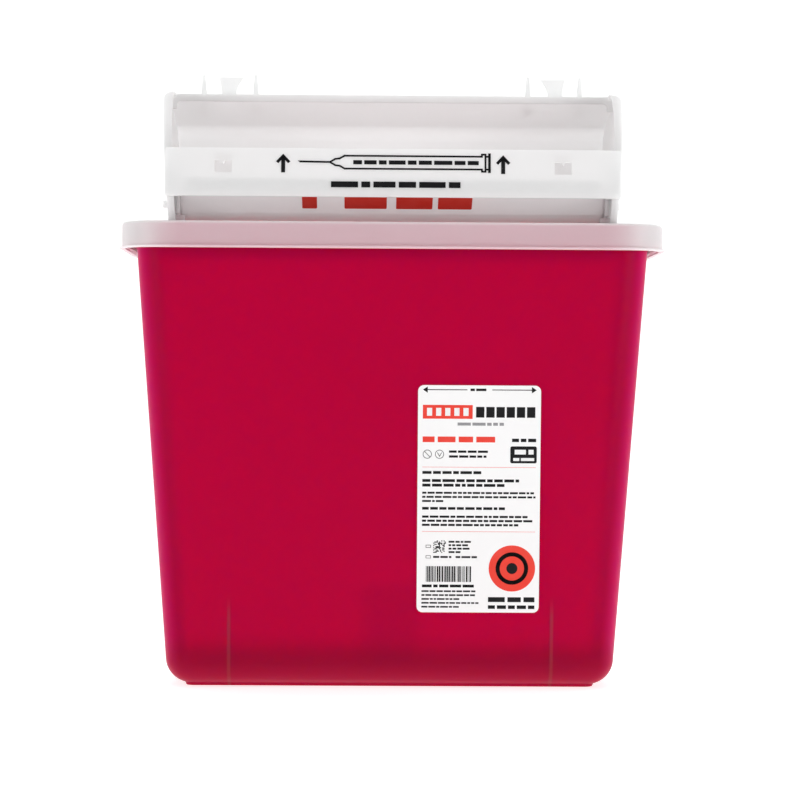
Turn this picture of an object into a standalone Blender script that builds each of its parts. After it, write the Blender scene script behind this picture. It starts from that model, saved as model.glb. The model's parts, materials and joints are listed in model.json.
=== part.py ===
"""Wall-mount sharps container: tapered bin, push-on lid, hood and counterbalanced drop tray.

Units are metres. +Z is up, +X is to the right and the open front of the hood faces -Y.
The origin is the centre of the base, on the surface that the container stands on.
The tray hangs on a pivot along X. Its body, the hood and the pins are drawn around that pivot.
"""

import math

import bmesh
import bpy
from mathutils import Vector

# ---- bin: driving dimensions ----
BASE_HALF_X = 0.1139          # half width of the wall line, carried down to z = 0
DRAFT = 0.0703                # outward lean of every wall, metres per metre of height
PLAN_DIFFERENCE = 0.076       # half width minus half depth, the same at every height
CORNER_RADIUS = 0.014         # vertical corners of the bin
BIN_WALL = 0.0018
FOOT_HEIGHT = 0.0012
FOOT_INSET = 0.0095           # from the wall line to the edge of the foot pad
BASE_EDGE_RADIUS = 0.012
RIM_TOP = 0.2339
RIM_LIP_BOTTOM = 0.2253       # lower edge of the rolled rim
RIM_REACH = 0.0045            # from the wall line to the outside of the rolled rim

# ---- lid ----
LID_TOP = 0.2359
LID_BOTTOM = 0.2224
LID_WALL = 0.0016
SKIRT_HALF_X = 0.1371
SKIRT_CORNER_RADIUS = 0.0205
SKIRT_EDGE_RADIUS = 0.0020
LIP_REACH = 0.0013
LIP_HEIGHT = 0.0012
DECK_OPENING_HALF_X = 0.1103
DECK_OPENING_FRONT = -0.0050
DECK_OPENING_BACK = 0.0520
NUB_RADIUS = 0.0030
NUB_HEIGHT = 0.0037

# ---- pivot of the tray, and everything drawn around it ----
PIVOT = Vector((0.0, 0.0070, 0.2487))
HOOD_RADIUS = 0.0588          # outside of the hood's curved front edge
HOOD_WALL = 0.0016
HOOD_BACK = 0.0500            # back face, behind the pivot
HOOD_BACK_CORNER_RADIUS = 0.0100
HOOD_HALF_X_BOTTOM = 0.1130
HOOD_FLARE = 0.0782           # widening of the hood, metres per metre of height
HOOD_TOP_CORNER_RADIUS = 0.0055
ROOF_FRONT = 0.0020           # front edge of the roof, behind the pivot
ROOF_SLOPE = 0.287
ROOF_LIP_DEPTH = 0.0044
OPENING_HALF_X_BOTTOM = 0.1095   # half width of the hood's front opening, at the deck
OPENING_FLARE = 0.0587
OPENING_CORNER_RADIUS = 0.0020
FIT_GAP = 0.0003              # between pieces that touch

PIN_RADIUS = 0.0020
PIN_HOLE_RADIUS = 0.0023
PIN_INNER_X = 0.1055
PIN_OUTER_X = 0.1200

BAND_OUTER = 0.0608           # distance of the band's front face from the pivot
BAND_THICKNESS = 0.0014
BAND_TILT = math.radians(8)   # lean of the band, top towards the back
BAND_LOW = -0.0086
BAND_HIGH = 0.0161
BAND_HALF_X = 0.1148
WINDOW_X = 0.0856
WINDOW_HALF_X = 0.0044
WINDOW_LOW = 0.0034
WINDOW_HIGH = 0.0097
RECESS_HIGH = 0.0128          # the band is thinner above each window, up to here
RECESS_DEPTH = 0.0007

TRAY_THICKNESS = 0.0015
END_PLATE_INNER_X = 0.1076
END_PLATE_OUTER_X = 0.1092
LOCK_TAB_X = 0.0864
LOCK_TAB_THICKNESS = 0.0016
FIN_X = (0.0724, 0.1000)

# ---- label ----
LABEL_MIDDLE = Vector((0.0443, 0.0, 0.0967))
LABEL_WIDTH = 0.0621
LABEL_HEIGHT = 0.1156
LABEL_THICKNESS = 0.0003
LABEL_CORNER_RADIUS = 0.0030

DECK = LID_TOP - PIVOT.z      # height of the lid's deck, seen from the pivot


# ---------------------------------------------------------------- scene helpers
def clear_scene():
    for item in list(bpy.data.objects):
        bpy.data.objects.remove(item, do_unlink=True)


def make_collection(name):
    collection = bpy.data.collections.new(name)
    bpy.context.scene.collection.children.link(collection)
    return collection


clear_scene()
PARTS = make_collection("sharps_container")
CUTTERS = make_collection("cutters")


def plastic(name, colour, roughness, transmission=0.0):
    material = bpy.data.materials.new(name)
    material.use_nodes = True
    shader = material.node_tree.nodes["Principled BSDF"]
    shader.inputs["Base Color"].default_value = (*colour, 1.0)
    shader.inputs["Roughness"].default_value = roughness
    shader.inputs["Metallic"].default_value = 0.0
    shader.inputs["Transmission Weight"].default_value = transmission
    material.diffuse_color = (*colour, 1.0)
    return material


def new_object(name, mesh_builder, material=None, collection=PARTS, location=(0, 0, 0)):
    """Turn a bmesh into an object, faces pointing out."""
    bmesh.ops.recalc_face_normals(mesh_builder, faces=mesh_builder.faces)
    mesh = bpy.data.meshes.new(name)
    mesh_builder.to_mesh(mesh)
    mesh_builder.free()
    mesh.shade_smooth()
    mesh.set_sharp_from_angle(angle=math.radians(35))
    item = bpy.data.objects.new(name, mesh)
    item.location = location
    collection.objects.link(item)
    if material:
        mesh.materials.append(material)
    else:
        item.hide_render = True
        item.display_type = "WIRE"
    return item


def join_shape(target, tool, operation):
    """Cut the tool out of the target, or add it, or keep what both share."""
    modifier = target.modifiers.new(tool.name, "BOOLEAN")
    modifier.operation = operation
    modifier.solver = "EXACT"
    modifier.object = tool


def tool_object(name, mesh_builder, location=(0, 0, 0)):
    return new_object(name, mesh_builder, collection=CUTTERS, location=location)


# ---------------------------------------------------------------- outlines
def arc(centre, radius, start, end, steps):
    """Points of an arc in a plane, angles in degrees."""
    points = []
    for step in range(steps + 1):
        angle = math.radians(start + (end - start) * step / steps)
        points.append((centre[0] + radius * math.cos(angle), centre[1] + radius * math.sin(angle)))
    return points


def fillet(before, corner, after, radius, steps=5):
    """Points that round the corner between two straight lines."""
    corner = Vector(corner)
    back = (Vector(before) - corner).normalized()
    ahead = (Vector(after) - corner).normalized()
    half_angle = back.angle(ahead) / 2
    reach = radius / math.tan(half_angle)
    centre = corner + (back + ahead).normalized() * (radius / math.sin(half_angle))
    first = corner + back * reach - centre
    last = corner + ahead * reach - centre
    sweep = first.angle_signed(last)
    points = []
    for step in range(steps + 1):
        turn = -sweep * step / steps
        spoke = Vector((first.x * math.cos(turn) - first.y * math.sin(turn),
                        first.x * math.sin(turn) + first.y * math.cos(turn)))
        points.append(tuple(centre + spoke))
    return points


def rounded_rectangle(half_x, half_y, radius, corner_steps=6):
    points = []
    for sign_x, sign_y, start in ((1, 1, 0), (-1, 1, 90), (-1, -1, 180), (1, -1, 270)):
        centre = (sign_x * (half_x - radius), sign_y * (half_y - radius))
        points += arc(centre, radius, start, start + 90, corner_steps)
    return points


def band_point(along, distance):
    """A point (y, z) from the pivot, along the band's tilted height and away from the pivot."""
    cosine, sine = math.cos(BAND_TILT), math.sin(BAND_TILT)
    return (-cosine * distance + sine * along, sine * distance + cosine * along)


# ---------------------------------------------------------------- solids
def prism(outline, place, start, end):
    """Extrude a closed outline. place(u, v, w) gives the position of outline point (u, v) at height w."""
    builder = bmesh.new()
    face = builder.faces.new([builder.verts.new(place(u, v, start)) for u, v in outline])
    extruded = bmesh.ops.extrude_face_region(builder, geom=[face])
    moved = [element for element in extruded["geom"] if isinstance(element, bmesh.types.BMVert)]
    for vertex, (u, v) in zip(moved_in_order(builder, moved), outline):
        vertex.co = place(u, v, end)
    return builder


def moved_in_order(builder, moved):
    """Extruded vertices keep the order of the outline they came from."""
    builder.verts.index_update()
    return sorted(moved, key=lambda vertex: vertex.index)


def along_x(u, v, w):
    return (w, u, v)


def along_y(u, v, w):
    return (u, w, v)


def along_z(u, v, w):
    return (u, v, w)


def box(low, high):
    outline = [(low[0], low[1]), (high[0], low[1]), (high[0], high[1]), (low[0], high[1])]
    return prism(outline, along_z, low[2], high[2])


def loft(sections):
    """A closed body through rounded rectangles, given as (height, half width, corner radius)."""
    builder = bmesh.new()
    rings = []
    for height, half_x, radius in sections:
        outline = rounded_rectangle(half_x, half_x - PLAN_DIFFERENCE, radius)
        rings.append([builder.verts.new((x, y, height)) for x, y in outline])
    for lower, upper in zip(rings, rings[1:]):
        for i in range(len(lower)):
            builder.faces.new((lower[i - 1], lower[i], upper[i], upper[i - 1]))
    builder.faces.new(rings[0])
    builder.faces.new(rings[-1])
    return builder


# ---------------------------------------------------------------- bin
def wall_line(height):
    return BASE_HALF_X + DRAFT * height


def base_edge(inset, steps=6):
    """Sections round the bottom edge of the bin, inset from the outside surface."""
    sections = []
    centre_height = FOOT_HEIGHT + BASE_EDGE_RADIUS
    first_angle = 15
    for step in range(steps + 1):
        angle = math.radians(first_angle + (90 - first_angle) * step / steps)
        height = centre_height - (BASE_EDGE_RADIUS - inset) * math.cos(angle)
        offset = (BASE_EDGE_RADIUS - inset) * math.sin(angle) - BASE_EDGE_RADIUS
        sections.append((height, wall_line(height) + offset, CORNER_RADIUS + offset))
    return sections


def rim_section(height, reach):
    """A section at a fixed reach outside the wall line of the rim."""
    return (height, wall_line(RIM_TOP) + reach, CORNER_RADIUS + reach)


def middle_of_wall(top):
    """Points (depth, height) down the middle of the front or back wall and round the base edge."""
    half = BIN_WALL / 2
    points = [(wall_line(top) - PLAN_DIFFERENCE - half, top)]
    for height, half_x, _ in reversed(base_edge(half)):
        points.append((half_x - PLAN_DIFFERENCE, height))
    return points


def build_bin():
    inside = -BIN_WALL
    flange_underside = RIM_TOP - BIN_WALL
    foot = wall_line(0) - FOOT_INSET
    foot_radius = CORNER_RADIUS - FOOT_INSET
    sections = [(0.0, foot, foot_radius), (FOOT_HEIGHT, foot + 0.0003, foot_radius + 0.0003)]
    sections += base_edge(0.0)
    sections += [
        (flange_underside - 0.0006, wall_line(flange_underside - 0.0006), CORNER_RADIUS),
        rim_section(flange_underside, 0.0006),
        rim_section(flange_underside, RIM_REACH - BIN_WALL),
        rim_section(RIM_LIP_BOTTOM, RIM_REACH - BIN_WALL),
        rim_section(RIM_LIP_BOTTOM, RIM_REACH),
        rim_section(RIM_TOP - 0.0010, RIM_REACH),
        rim_section(RIM_TOP, RIM_REACH - 0.0010),
        rim_section(RIM_TOP, inside + 0.0008),
        rim_section(RIM_TOP - 0.0008, inside),
    ]
    sections += reversed(base_edge(BIN_WALL))
    body = new_object("bin_body", loft(sections), plastic("red_polypropylene", (0.47, 0.0, 0.05), 0.35, 0.2))

    # Two gussets stiffen the front wall above the base.
    outline = [(-depth, height) for depth, height in middle_of_wall(0.050)]
    outline.append((-0.0215, outline[-1][1]))
    for side, x in (("left", -0.0820), ("right", 0.0820)):
        gusset = tool_object(f"gusset_{side}", prism(outline, along_x, x - 0.0007, x + 0.0007))
        join_shape(body, gusset, "UNION")

    # A pocket in the back wall drops over the tongue of a wall bracket.
    pocket_depth, pocket_top, pocket_half_x = 0.0325, 0.0460, 0.0135
    inner_depth = pocket_depth - BIN_WALL
    outline = [point for point in middle_of_wall(pocket_top + BIN_WALL) if point[0] > inner_depth]
    outline += [(inner_depth, outline[-1][1]), (inner_depth, pocket_top + BIN_WALL)]
    reach = pocket_half_x + BIN_WALL
    join_shape(body, tool_object("pocket_block", prism(outline, along_x, -reach, reach)), "UNION")
    pocket = box((-pocket_half_x, pocket_depth, -0.005), (pocket_half_x, 0.060, pocket_top))
    join_shape(body, tool_object("pocket_cut", pocket), "DIFFERENCE")


# ---------------------------------------------------------------- lid
def build_lid(natural):
    def section(height, reach):
        return (height, SKIRT_HALF_X + reach, SKIRT_CORNER_RADIUS + reach)

    sections = []
    for degrees in (90, 60, 30, 0):
        angle = math.radians(degrees)
        height = LID_TOP - SKIRT_EDGE_RADIUS * (1 - math.sin(angle))
        sections.append(section(height, -SKIRT_EDGE_RADIUS * (1 - math.cos(angle))))
    lip_top = LID_BOTTOM + LIP_HEIGHT
    sections += [
        section(lip_top + 0.0004, 0.0),
        section(lip_top, LIP_REACH),
        section(LID_BOTTOM + 0.0003, LIP_REACH),
        section(LID_BOTTOM, LIP_REACH - 0.0003),
        section(LID_BOTTOM, -LID_WALL),
        section(LID_BOTTOM + 0.0008, -LID_WALL),
        section(LID_BOTTOM + 0.0015, -LID_WALL - 0.0011),
        section(LID_BOTTOM + 0.0023, -LID_WALL),
        section(LID_TOP - LID_WALL - 0.0006, -LID_WALL),
        section(LID_TOP - LID_WALL, -LID_WALL - 0.0006),
    ]
    lid = new_object("lid_cover", loft(sections), natural)

    middle_y = (DECK_OPENING_FRONT + DECK_OPENING_BACK) / 2
    half_y = (DECK_OPENING_BACK - DECK_OPENING_FRONT) / 2
    outline = [(x, y + middle_y) for x, y in rounded_rectangle(DECK_OPENING_HALF_X, half_y, 0.002, 3)]
    join_shape(lid, tool_object("deck_opening", prism(outline, along_z, LID_TOP - 0.008, LID_TOP + 0.006)), "DIFFERENCE")

    # A rounded nub at each front corner catches the tray's heel.
    nub_y = PIVOT.y - 0.050
    top = LID_TOP + NUB_HEIGHT - NUB_RADIUS
    foot = LID_TOP - LID_WALL / 2
    outline = arc((nub_y, top), NUB_RADIUS, 0, 180, 8) + [(nub_y - NUB_RADIUS, foot), (nub_y + NUB_RADIUS, foot)]
    for side, sign in (("left", -1), ("right", 1)):
        nub = prism(outline, along_x, sign * 0.1050, sign * 0.1105)
        join_shape(lid, tool_object(f"stop_nub_{side}", nub), "UNION")


# ---------------------------------------------------------------- hood
def hood_half_x(height):
    return HOOD_HALF_X_BOTTOM + HOOD_FLARE * (height - DECK)


def roof_height(depth):
    """Top of the roof, from the pivot."""
    return HOOD_RADIUS - ROOF_SLOPE * (depth - ROOF_FRONT - HOOD_WALL)


def hood_side(inset, bottom):
    """Side outline (y, z) of the hood: curved front, sloping roof, straight back."""
    radius = HOOD_RADIUS - inset
    back = HOOD_BACK - inset
    drop = inset * math.hypot(1, ROOF_SLOPE)
    front_angle = 180 - math.degrees(math.asin(bottom / radius))
    points = arc((0, 0), radius, front_angle, 90, 22)
    ridge = (ROOF_FRONT + HOOD_WALL, roof_height(ROOF_FRONT + HOOD_WALL) - drop)
    corner = (back, roof_height(back) - drop)
    points += fillet(ridge, corner, (back, bottom), HOOD_BACK_CORNER_RADIUS - inset)
    points.append((back, bottom))
    return points


def hood_body(inset, bottom, overlap=0.0):
    """The hood's outside, or its hollow, as a prism whose ends lean outwards with the flare."""
    def place(u, v, w):
        return (w * (hood_half_x(v) - inset + overlap), u, v)

    return prism(hood_side(inset, bottom), place, -1.0, 1.0)


def hood_front(inset, bottom):
    """Front outline (x, z) of the hood: flared sides and rounded top corners."""
    top = HOOD_RADIUS - inset
    right_bottom = (hood_half_x(bottom) - inset, bottom)
    right_top = (hood_half_x(top) - inset, top)
    right = [right_bottom] + fillet(right_bottom, right_top, (0, top), HOOD_TOP_CORNER_RADIUS - inset)
    return right + [(-x, z) for x, z in reversed(right)]


def opening_half_x(height):
    return OPENING_HALF_X_BOTTOM + OPENING_FLARE * (height - DECK)


def lip_outline():
    """Front outline (x, z) of the roof's lip: the hood's corners outside, the opening's rounded corners inside."""
    edge = HOOD_RADIUS - ROOF_LIP_DEPTH
    foot = edge - 2 * OPENING_CORNER_RADIUS
    low = (opening_half_x(foot), foot)
    right = [low] + fillet(low, (opening_half_x(edge), edge), (0, edge), OPENING_CORNER_RADIUS)
    return hood_front(0.0005, foot) + [(-x, z) for x, z in right] + right[::-1]


def hood_tool(name, builder):
    return tool_object(name, builder, PIVOT)


def build_hood(natural):
    bottom = DECK + FIT_GAP
    hood = new_object("hood", hood_body(0.0, bottom, 0.001), natural, location=PIVOT)
    outside = prism(hood_front(0.0, bottom - 0.010), along_y, -0.070, 0.060)
    join_shape(hood, hood_tool("hood_outline", outside), "INTERSECT")

    hollow = hood_tool("hood_hollow", hood_body(HOOD_WALL, bottom - 0.005, 0.001))
    inside = prism(hood_front(HOOD_WALL, bottom - 0.010), along_y, -0.070, 0.060)
    join_shape(hollow, hood_tool("hood_hollow_outline", inside), "INTERSECT")
    join_shape(hood, hollow, "DIFFERENCE")

    right = [(opening_half_x(height), height) for height in (-0.030, 0.070)]
    opening = prism(right + [(-x, z) for x, z in reversed(right)], along_y, -0.080, ROOF_FRONT)
    join_shape(hood, hood_tool("hood_opening", opening), "DIFFERENCE")
    for side, sign in (("left", -1), ("right", 1)):
        hole = prism(arc((0, 0), PIN_HOLE_RADIUS, 0, 345, 23), along_x, sign * 0.108, sign * 0.120)
        join_shape(hood, hood_tool(f"pin_hole_{side}", hole), "DIFFERENCE")

    # The roof's front edge is turned down into a lip.
    lip = prism(lip_outline(), along_y, ROOF_FRONT, ROOF_FRONT + HOOD_WALL)
    join_shape(hood, hood_tool("roof_lip", lip), "UNION")

    # Gusset-shaped fins stand on the roof behind the closed band.
    front, back, tip = 0.0175, 0.0290, 0.0703
    for side, sign in (("left", -1), ("right", 1)):
        for number, x in enumerate(FIN_X):
            join_shape(hood, hood_tool(f"fin_{side}_{number}", fin(sign * x, front, back, tip)), "UNION")


def fin(x, front, back, tip):
    """A fin that narrows upwards: its foot is sunk into the roof, its back slopes down."""
    foot = roof_height(back) - 0.0008
    half_foot, half_tip = 0.0019, 0.0007
    builder = bmesh.new()
    bmesh.ops.create_cube(builder, size=1.0)
    for vertex in builder.verts:
        right, behind, above = (value > 0 for value in vertex.co)
        half = half_tip if above else half_foot
        height = tip if above else (foot if behind else roof_height(front) - 0.0008)
        depth = (front + 0.0018 if above else back) if behind else front
        vertex.co = (x + (half if right else -half), depth, height)
    return builder


def fan_side(half_neck, lean, root):
    """One side of a lock tab (distance from its middle, height): a straight neck that curves out into a fan."""
    neck_top, top, corner = 0.0597, 0.0678, 0.0005
    side = [(half_neck, root)]
    for step in range(6):
        share = step / 5
        side.append((half_neck + lean * share ** 1.7, neck_top + (top - corner - neck_top) * share))
    side.append((half_neck + lean - corner, top))
    return side


def build_lock_tab(name, sign, natural):
    """A fan on a short neck. It reaches further towards the hood's middle than away from it."""
    depth = 0.0081
    root = roof_height(depth) + LOCK_TAB_THICKNESS * ROOF_SLOPE / 2 + FIT_GAP
    outer = [(sign * (LOCK_TAB_X + u), v) for u, v in fan_side(0.0035, 0.0016, root)]
    inner = [(sign * (LOCK_TAB_X - u), v) for u, v in fan_side(0.0042, 0.0039, root)]
    half = LOCK_TAB_THICKNESS / 2
    tab = prism(outer + inner[::-1], along_y, depth - half, depth + half)
    new_object(name, tab, natural, location=PIVOT)


# ---------------------------------------------------------------- tray
def tray_floor():
    """Underside of the tray (y, z): steep front panel, shallow trough, rising back."""
    trough = [(-0.0300, -0.0064), (-0.0200, -0.0083), (-0.0100, -0.0096), (0.0, -0.0098),
              (0.0100, -0.0085), (0.0200, -0.0045), (0.0448, 0.0080)]
    return [(-0.0570, 0.0073)] + trough


def thicken(points, thickness):
    """Close an open outline into a strip, adding the thickness on its upper side."""
    upper = []
    for index, point in enumerate(points):
        before = Vector(points[max(index - 1, 0)])
        after = Vector(points[min(index + 1, len(points) - 1)])
        along = (after - before).normalized()
        upper.append((point[0] - along.y * thickness, point[1] + along.x * thickness))
    return points + upper[::-1]


def end_plate_outline():
    """One end of the tray: closed behind the band, with a heel that rests on the lid's nub."""
    heel_front, heel_back, heel_bottom, heel_radius = -0.0530, -0.0470, -0.0086, 0.0030
    heel_middle = ((heel_front + heel_back) / 2, heel_bottom + heel_radius)
    outline = [(-0.0568, 0.0076), (-0.0522, 0.0092)]
    outline += arc((0, 0), 0.0525, 169, 153, 4)
    outline += [(0.0, 0.0230), (0.0443, 0.0120), (0.0448, 0.0080)]
    outline += tray_floor()[:0:-1][1:]
    outline += [(heel_back, 0.0016)] + arc(heel_middle, heel_radius, 0, -180, 8)
    outline += [(heel_front, 0.0052)]
    return outline


def build_tray(natural):
    inside_x = END_PLATE_INNER_X + 0.0004
    tray = new_object("drop_tray", prism(thicken(tray_floor(), TRAY_THICKNESS), along_x, -inside_x, inside_x),
                      natural, location=PIVOT)
    seat_distance = BAND_OUTER - BAND_THICKNESS - FIT_GAP
    seat = [band_point(0.0009, seat_distance), band_point(-0.0060, seat_distance),
            band_point(-0.0060, seat_distance - TRAY_THICKNESS), band_point(0.0009, seat_distance - TRAY_THICKNESS)]
    join_shape(tray, hood_tool("band_seat", prism(seat, along_x, -0.1040, 0.1040)), "UNION")
    for side, sign in (("left", -1), ("right", 1)):
        plate = prism(end_plate_outline(), along_x, sign * END_PLATE_INNER_X, sign * END_PLATE_OUTER_X)
        join_shape(tray, hood_tool(f"end_plate_{side}", plate), "UNION")
        # A web behind the band stiffens the seat.
        web = [band_point(-0.0055, seat_distance - 0.0004), band_point(0.0004, seat_distance - 0.0004),
               (-0.0500, 0.0045), (-0.0440, 0.0012)]
        x = sign * 0.0685
        join_shape(tray, hood_tool(f"seat_web_{side}", prism(web, along_x, x - 0.0006, x + 0.0006)), "UNION")
    for side, sign in (("left", -1), ("right", 1)):
        hole = prism(arc((0, 0), PIN_HOLE_RADIUS, 0, 345, 23), along_x, sign * 0.105, sign * 0.112)
        join_shape(tray, hood_tool(f"tray_hole_{side}", hole), "DIFFERENCE")
    return tray


def build_band(natural):
    middle = (BAND_LOW + BAND_HIGH) / 2
    half_height = (BAND_HIGH - BAND_LOW) / 2

    def place(u, v, w):
        y, z = band_point(v, w)
        return (u, y, z)

    outline = [(u, v + middle) for u, v in rounded_rectangle(BAND_HALF_X, half_height, 0.0010, 3)]
    plate = prism(outline, place, BAND_OUTER - BAND_THICKNESS, BAND_OUTER)
    band = new_object("lift_band", plate, natural, location=PIVOT)

    # Each window has a tooth that points down from its top edge, below a thinner patch of the band.
    tooth_root, tooth_tip, tooth_depth = 0.0010, 0.0003, 0.0016
    window = [(-WINDOW_HALF_X, WINDOW_LOW), (WINDOW_HALF_X, WINDOW_LOW), (WINDOW_HALF_X, WINDOW_HIGH),
              (tooth_root, WINDOW_HIGH), (tooth_tip, WINDOW_HIGH - tooth_depth),
              (-tooth_tip, WINDOW_HIGH - tooth_depth), (-tooth_root, WINDOW_HIGH), (-WINDOW_HALF_X, WINDOW_HIGH)]
    recess = [(-WINDOW_HALF_X, WINDOW_HIGH - 0.0004), (WINDOW_HALF_X, WINDOW_HIGH - 0.0004),
              (WINDOW_HALF_X, RECESS_HIGH), (-WINDOW_HALF_X, RECESS_HIGH)]
    back = BAND_OUTER - BAND_THICKNESS
    for side, sign in (("left", -1), ("right", 1)):
        for kind, shape, far in (("window", window, BAND_OUTER + 0.002), ("recess", recess, back + RECESS_DEPTH)):
            outline = [(u + sign * WINDOW_X, v) for u, v in shape]
            cut = prism(outline, place, back - 0.002, far)
            join_shape(band, hood_tool(f"{kind}_{side}", cut), "DIFFERENCE")
    return band


def build_pin(name, sign, natural):
    """A plain pin with a small chamfer on its outer end."""
    builder = bmesh.new()
    length = PIN_OUTER_X - PIN_INNER_X
    bmesh.ops.create_cone(builder, cap_ends=True, segments=24, radius1=PIN_RADIUS, radius2=PIN_RADIUS, depth=length)
    outer_end = [edge for edge in builder.edges if all(vertex.co.z > 0 for vertex in edge.verts)]
    bmesh.ops.bevel(builder, geom=outer_end, offset=0.0004, segments=2, affect="EDGES", profile=0.5)
    middle = (PIN_OUTER_X + PIN_INNER_X) / 2
    for vertex in builder.verts:
        x, y, z = vertex.co
        vertex.co = (sign * (z + middle), y, x)
    return new_object(name, builder, natural, location=PIVOT)


# ---------------------------------------------------------------- label
def build_label():
    """A rounded rectangle that lies on the leaning front wall."""
    lean = math.atan(DRAFT)
    outline = rounded_rectangle(LABEL_WIDTH / 2, LABEL_HEIGHT / 2, LABEL_CORNER_RADIUS, 4)
    near, far = FIT_GAP, FIT_GAP + LABEL_THICKNESS
    wall_y = -(wall_line(LABEL_MIDDLE.z) - PLAN_DIFFERENCE)
    up = Vector((0, -math.sin(lean), math.cos(lean)))
    out = Vector((0, -math.cos(lean), -math.sin(lean)))
    origin = Vector((LABEL_MIDDLE.x, wall_y, LABEL_MIDDLE.z))

    def place(u, v, w):
        return Vector((u, 0, 0)) + up * v + out * w

    new_object("body_label", prism(outline, place, near, far), plastic("label_paper", (0.9, 0.9, 0.9), 0.45),
               location=origin)


# ---------------------------------------------------------------- assembly
def build_container():
    natural = plastic("natural_polypropylene", (0.82, 0.83, 0.82), 0.4, 0.3)
    build_bin()
    build_lid(natural)
    build_hood(natural)
    build_lock_tab("lock_tab_left", -1, natural)
    build_lock_tab("lock_tab_right", 1, natural)
    build_label()

    pivot = bpy.data.objects.new("tray_pivot", None)
    pivot.location = PIVOT
    PARTS.objects.link(pivot)
    moving = [build_tray(natural), build_band(natural),
              build_pin("hinge_pin_left", -1, natural), build_pin("hinge_pin_right", 1, natural)]
    for item in moving:
        item.location = (0, 0, 0)
        item.parent = pivot


build_container()
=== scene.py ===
import json
import math
import random

import bmesh
import bpy
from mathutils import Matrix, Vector


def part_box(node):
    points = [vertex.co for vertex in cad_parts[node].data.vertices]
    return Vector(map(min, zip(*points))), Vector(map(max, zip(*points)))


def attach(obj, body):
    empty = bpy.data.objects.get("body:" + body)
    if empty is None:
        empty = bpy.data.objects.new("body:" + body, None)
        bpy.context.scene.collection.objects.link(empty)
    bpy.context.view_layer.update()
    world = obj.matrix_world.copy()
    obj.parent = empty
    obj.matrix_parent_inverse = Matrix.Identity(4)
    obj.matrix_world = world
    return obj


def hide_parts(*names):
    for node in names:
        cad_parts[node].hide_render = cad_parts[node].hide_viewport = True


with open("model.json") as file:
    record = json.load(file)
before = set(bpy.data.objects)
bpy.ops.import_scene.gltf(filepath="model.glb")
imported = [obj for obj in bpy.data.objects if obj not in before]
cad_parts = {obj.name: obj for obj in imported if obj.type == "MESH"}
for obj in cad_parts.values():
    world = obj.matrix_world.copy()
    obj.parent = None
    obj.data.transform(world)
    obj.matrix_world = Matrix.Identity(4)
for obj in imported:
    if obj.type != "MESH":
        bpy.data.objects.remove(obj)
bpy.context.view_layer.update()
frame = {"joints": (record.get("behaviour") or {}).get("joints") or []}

# ---- sizes read from the frame ----
BIN_HIGH = Vector(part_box("bin_body")[1])
LID_LOW, LID_HIGH = (Vector(corner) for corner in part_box("lid_cover"))
HOOD_HIGH = Vector(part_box("hood")[1])
LABEL_LOW, LABEL_HIGH = (Vector(corner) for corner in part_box("body_label"))
PIN_LOW, PIN_HIGH = (Vector(corner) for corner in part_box("hinge_pin_right"))
PIVOT = Vector(next(joint for joint in frame["joints"] if joint["name"] == "tray_tip")["pos_m"])

# ---- bin ----
DRAFT = 0.0703                # the bin's walls lean out by this much of their height
PLAN_DIFFERENCE = LID_HIGH.x - LID_HIGH.y   # half width minus half depth
RIM_TOP = BIN_HIGH.z
RIM_REACH = 0.0045
BASE_HALF_X = BIN_HIGH.x - RIM_REACH - DRAFT * RIM_TOP
CORNER_RADIUS = 0.014
BIN_WALL = 0.0018
FOOT_HEIGHT = 0.0012
FOOT_INSET = 0.0095
BASE_EDGE_RADIUS = 0.012
RIM_LIP_BOTTOM = 0.2253
GUSSET_X = 0.0820
GUSSET_TOP = 0.0500
GUSSET_TIP_Y = -0.0215
POCKET_DEPTH = 0.0325         # from the bin's middle to the pocket's inner wall
POCKET_TOP = 0.0460
POCKET_HALF_X = 0.0135

# ---- lid ----
LID_BOTTOM = LID_LOW.z
LID_TOP = 0.2359
LID_WALL = 0.0016
LIP_REACH = 0.0013
SKIRT_HALF_X = LID_HIGH.x - LIP_REACH
SKIRT_CORNER_RADIUS = 0.0205
SKIRT_EDGE_RADIUS = 0.0020
LIP_HEIGHT = 0.0012
DECK_OPENING_HALF_X = 0.1103
DECK_OPENING_FRONT = -0.0050
DECK_OPENING_BACK = 0.0520
DECK_OPENING_CORNER_RADIUS = 0.0020
NUB_INNER_X = 0.1050
NUB_OUTER_X = 0.1105
NUB_REACH = 0.0500            # how far in front of the pivot
NUB_RADIUS = 0.0030
NUB_HEIGHT = 0.0037

# ---- hood and tray, seen from the pivot ----
DECK = LID_TOP - PIVOT.z
FIT_GAP = 0.0003
HOOD_RADIUS = 0.0588
HOOD_WALL = 0.0016
HOOD_BACK = HOOD_HIGH.y - PIVOT.y
HOOD_BACK_CORNER_RADIUS = 0.0100
HOOD_HALF_X_BOTTOM = 0.1130
HOOD_FLARE = 0.0782
HOOD_TOP_CORNER_RADIUS = 0.0055
HOOD_END_OVERLAP = 0.0010     # how far a prism reaches past the outline that trims it
ROOF_FRONT = 0.0020
ROOF_SLOPE = 0.287
ROOF_LIP_DEPTH = 0.0044
OPENING_HALF_X_BOTTOM = 0.1095
OPENING_FLARE = 0.0587
OPENING_CORNER_RADIUS = 0.0020
PIN_RADIUS = (PIN_HIGH.z - PIN_LOW.z) / 2
PIN_HOLE_RADIUS = 0.0023
FIN_X = (0.0724, 0.1000)
FIN_FRONT = 0.0175
FIN_BACK = 0.0290
FIN_SINK = 0.0008
BAND_OUTER = 0.0608
BAND_THICKNESS = 0.0014
BAND_TILT = math.radians(8)
BAND_LOW = -0.0086
BAND_HIGH = 0.0161
BAND_HALF_X = 0.1148
WINDOW_X = 0.0856
WINDOW_HALF_X = 0.0044
WINDOW_LOW = 0.0034
WINDOW_HIGH = 0.0097
RECESS_HIGH = 0.0128
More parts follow.
